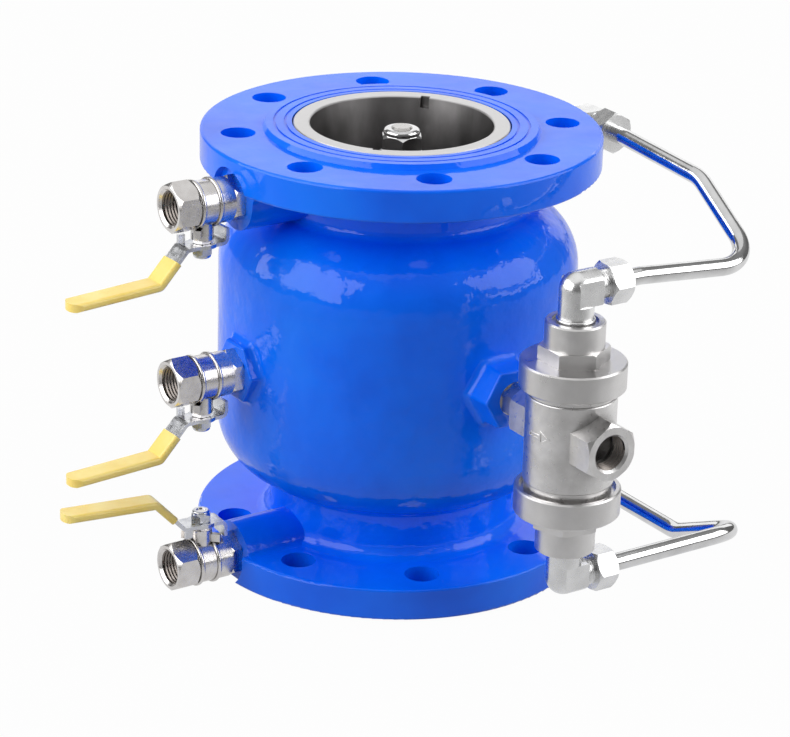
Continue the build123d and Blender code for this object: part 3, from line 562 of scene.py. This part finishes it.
def elbow_threads():
    """Male threads that stand bare between each elbow and its nut."""
    for name in ("relief_top_elbow", "relief_bottom_elbow"):
        corner = middle(name)
        low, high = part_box(name)
        height = high[2] - ELBOW_R if name == "relief_top_elbow" else low[2] + ELBOW_R
        start = Vector((ELBOW_THREAD_FROM, corner.y, height))
        thread(f"{name}_thread", start, "X", ELBOW_MALE_R, FINE_RIDGE, FINE_PITCH, ELBOW_THREAD_LENGTH,
               "valve", "bright_fittings")
    for name in ("upper_pilot_elbow", "lower_pilot_elbow"):
        low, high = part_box(name)
        start = Vector((high[0] - ELBOW_R, -ELBOW_THREAD_FROM - ELBOW_THREAD_LENGTH, middle(name).z))
        thread(f"{name}_thread", start, "Y", ELBOW_MALE_R, FINE_RIDGE, FINE_PITCH, ELBOW_THREAD_LENGTH,
               "valve", "bright_fittings")


def outline(piece):
    """Leaves only a raised line along the border of a flat face."""
    deselect()
    piece.select_set(True)
    bpy.context.view_layer.objects.active = piece
    bpy.ops.object.mode_set(mode="EDIT")
    bpy.ops.mesh.select_mode(type="FACE")
    bpy.ops.mesh.select_all(action="SELECT")
    bpy.ops.mesh.inset(thickness=ARROW_LINE)
    bpy.ops.mesh.delete(type="FACE")
    bpy.ops.object.mode_set(mode="OBJECT")


def arrow_lines():
    """Flat outline of an arrow on the floor plane: a bar and a triangle in front of it."""
    deselect()
    bpy.ops.mesh.primitive_plane_add(size=ARROW_SHAFT_WIDTH, location=(0, 0, 0))
    shaft = bpy.context.object
    shaft.scale = (ARROW_SHAFT_STRETCH, 1.0, 1.0)
    shaft.location = (ARROW_SHAFT_BACK, 0, 0)
    settle(shaft)
    outline(shaft)
    deselect()
    bpy.ops.mesh.primitive_circle_add(vertices=3, radius=ARROW_HEAD_R, fill_type="NGON",
                                      rotation=(0, 0, math.radians(-90)),
                                      location=(ARROW_HEAD_FORWARD, 0, 0))
    head = bpy.context.object
    settle(head)
    outline(head)
    deselect()
    shaft.select_set(True)
    head.select_set(True)
    bpy.context.view_layer.objects.active = shaft
    bpy.ops.object.join()
    lines = bpy.context.object
    bpy.ops.object.mode_set(mode="EDIT")
    bpy.ops.mesh.select_all(action="SELECT")
    bpy.ops.mesh.subdivide(number_cuts=3)
    bpy.ops.object.mode_set(mode="OBJECT")
    return lines


def lay_on_body(arrow):
    """Stands the arrow beside the relief valve's body and presses it onto the round wall."""
    outside = Vector((math.cos(ARROW_TURN), math.sin(ARROW_TURN), 0))
    along = Vector((-outside.y, outside.x, 0))
    place = Vector((0, middle("relief_top_elbow").y, ARROW_HEIGHT)) + outside * ARROW_CLEAR
    turn = Matrix((along, (0, 0, 1), outside)).transposed().to_4x4()
    arrow.matrix_world = Matrix.Translation(place) @ turn
    wrap = arrow.modifiers.new("wrap", "SHRINKWRAP")
    wrap.target = NODES["relief_body"]
    wrap.wrap_method = "PROJECT"
    wrap.use_project_z = True
    wrap.use_positive_direction = False
    wrap.use_negative_direction = True
    bpy.ops.object.modifier_apply(modifier="wrap")


def flow_arrow():
    """Cast arrow on the relief valve's body, pointing along the way out of the drain."""
    arrow = arrow_lines()
    arrow.name = "flow_arrow"
    lay_on_body(arrow)
    wall = arrow.modifiers.new("wall", "SOLIDIFY")
    wall.thickness = ARROW_THICK
    wall.offset = 0
    bpy.ops.object.modifier_apply(modifier="wall")
    soften = arrow.modifiers.new("soften", "BEVEL")
    soften.width = ARROW_EDGE
    soften.segments = 2
    bpy.ops.object.modifier_apply(modifier="soften")
    settle(arrow)
    outward(arrow)
    bpy.ops.object.shade_smooth_by_angle(angle=ARROW_SMOOTH)
    wear(arrow, "cast_stainless")
    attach(arrow, "valve")


mouth_threads()
elbow_threads()
flow_arrow()


# Camera, floor and light
def add_camera():
    away = Vector((math.sin(VIEW_AZIMUTH) * math.cos(VIEW_ELEVATION),
                   -math.cos(VIEW_AZIMUTH) * math.cos(VIEW_ELEVATION), math.sin(VIEW_ELEVATION)))
    level_right = Vector((math.cos(VIEW_AZIMUTH), math.sin(VIEW_AZIMUTH), 0))
    level_up = away.cross(level_right)
    right = math.cos(VIEW_LEAN) * level_right + math.sin(VIEW_LEAN) * level_up
    up = -math.sin(VIEW_LEAN) * level_right + math.cos(VIEW_LEAN) * level_up
    lens = bpy.data.cameras.new("photo_camera")
    lens.sensor_width = SENSOR_MM
    lens.lens = FOCAL_PIXELS / PHOTO_WIDTH * SENSOR_MM
    lens.shift_x = -FRAME_RIGHT_PIXELS / PHOTO_WIDTH
    lens.shift_y = -FRAME_UP_PIXELS / PHOTO_WIDTH
    lens.clip_end = 20
    camera = bpy.data.objects.new("photo_camera", lens)
    turn = Matrix((right, up, away)).transposed().to_4x4()
    camera.matrix_world = Matrix.Translation(VIEW_TARGET + away * VIEW_DISTANCE) @ turn
    bpy.context.scene.collection.objects.link(camera)
    bpy.context.scene.camera = camera


def bright_sheet(tree, path):
    """How much white the gloss of the object sees in the floor: a lot behind it, little in front."""
    place = tree.nodes.new("ShaderNodeTexCoord")
    toward_front = tree.nodes.new("ShaderNodeVectorMath")
    toward_front.operation = "DOT_PRODUCT"
    toward_front.inputs[1].default_value = FRONT
    tree.links.new(place.outputs["Object"], toward_front.inputs[0])
    sheet = span(tree, toward_front.outputs["Value"], *SHEET_SHARES, *SHEET_BAND)
    mirrored = tree.nodes.new("ShaderNodeMath")
    mirrored.operation = "MULTIPLY"
    tree.links.new(path.outputs["Is Glossy Ray"], mirrored.inputs[0])
    tree.links.new(sheet, mirrored.inputs[1])
    return mirrored.outputs["Value"]


def add_floor():
    """A pale floor that shows near white to the camera and keeps the object's shadow."""
    deselect()
    bpy.ops.mesh.primitive_plane_add(size=FLOOR_SIZE, location=(0, 0, FLOOR_DROP))
    floor = bpy.context.object
    floor.name = "floor"
    made, tree, shader = material("pale_floor")
    shader.inputs["Base Color"].default_value = FLOOR_TONE
    shader.inputs["Roughness"].default_value = 0.9
    shader.inputs["Specular IOR Level"].default_value = 0.1
    glow = tree.nodes.new("ShaderNodeEmission")
    glow.inputs["Color"].default_value = (1, 1, 1, 1)
    glow.inputs["Strength"].default_value = 1.0
    blend = tree.nodes.new("ShaderNodeMixShader")
    path = tree.nodes.new("ShaderNodeLightPath")
    share = tree.nodes.new("ShaderNodeMath")
    share.operation = "MULTIPLY"
    share.inputs[1].default_value = FLOOR_WHITE_SHARE
    tree.links.new(path.outputs["Is Camera Ray"], share.inputs[0])
    seen = tree.nodes.new("ShaderNodeMath")
    seen.operation = "MAXIMUM"
    tree.links.new(share.outputs["Value"], seen.inputs[0])
    tree.links.new(bright_sheet(tree, path), seen.inputs[1])
    tree.links.new(seen.outputs["Value"], blend.inputs["Fac"])
    tree.links.new(shader.outputs["BSDF"], blend.inputs[1])
    tree.links.new(glow.outputs["Emission"], blend.inputs[2])
    tree.links.new(blend.outputs["Shader"], tree.nodes["Material Output"].inputs["Surface"])
    floor.data.materials.append(made)


def add_softbox(name, place, aim, width, height, watts):
    light = bpy.data.lights.new(name, "AREA")
    light.shape = "RECTANGLE"
    light.size = width
    light.size_y = height
    light.energy = watts
    box = bpy.data.objects.new(name, light)
    box.location = place
    box.rotation_euler = (Vector(aim) - Vector(place)).to_track_quat("-Z", "Y").to_euler()
    box.visible_camera = False
    bpy.context.scene.collection.objects.link(box)


def add_world():
    """Studio surround: pale overhead, greyer low down, white to the camera."""
    world = bpy.data.worlds.new("studio")
    world.use_nodes = True
    bpy.context.scene.world = world
    tree = world.node_tree
    place = tree.nodes.new("ShaderNodeTexCoord")
    split = tree.nodes.new("ShaderNodeSeparateXYZ")
    tree.links.new(place.outputs["Generated"], split.inputs["Vector"])
    ramp = shades(tree, span(tree, split.outputs["Z"], 0.0, 1.0, 0.0, 1.0),
                  ((0.0, (0.13, 0.13, 0.13)), (0.45, (0.16, 0.16, 0.16)), (1.0, (0.40, 0.40, 0.40))))
    surround = tree.nodes["Background"]
    surround.inputs["Strength"].default_value = 1.0
    tree.links.new(ramp, surround.inputs["Color"])
    white = tree.nodes.new("ShaderNodeBackground")
    white.inputs["Color"].default_value = (1, 1, 1, 1)
    path = tree.nodes.new("ShaderNodeLightPath")
    blend = tree.nodes.new("ShaderNodeMixShader")
    tree.links.new(path.outputs["Is Camera Ray"], blend.inputs["Fac"])
    tree.links.new(surround.outputs["Background"], blend.inputs[1])
    tree.links.new(white.outputs["Background"], blend.inputs[2])
    tree.links.new(blend.outputs["Shader"], tree.nodes["World Output"].inputs["Surface"])


add_camera()
add_floor()
add_world()
add_softbox("left_key", (-1.50, 0.30, 0.90), (0, 0, 0.12), 2.3, 1.3, 30)
add_softbox("right_fill", (1.15, -1.10, 0.90), (0, 0, 0.12), 1.7, 1.3, 20)
add_softbox("back_sheet", (0.86, 1.29, 0.66), (0, 0, 0.2), 2.4, 0.90, 7)
add_softbox("overhead", (0.0, 0.1, 1.6), (0, 0, 0.1), 2.2, 2.2, 8)
bpy.context.scene.view_settings.view_transform = "Standard"
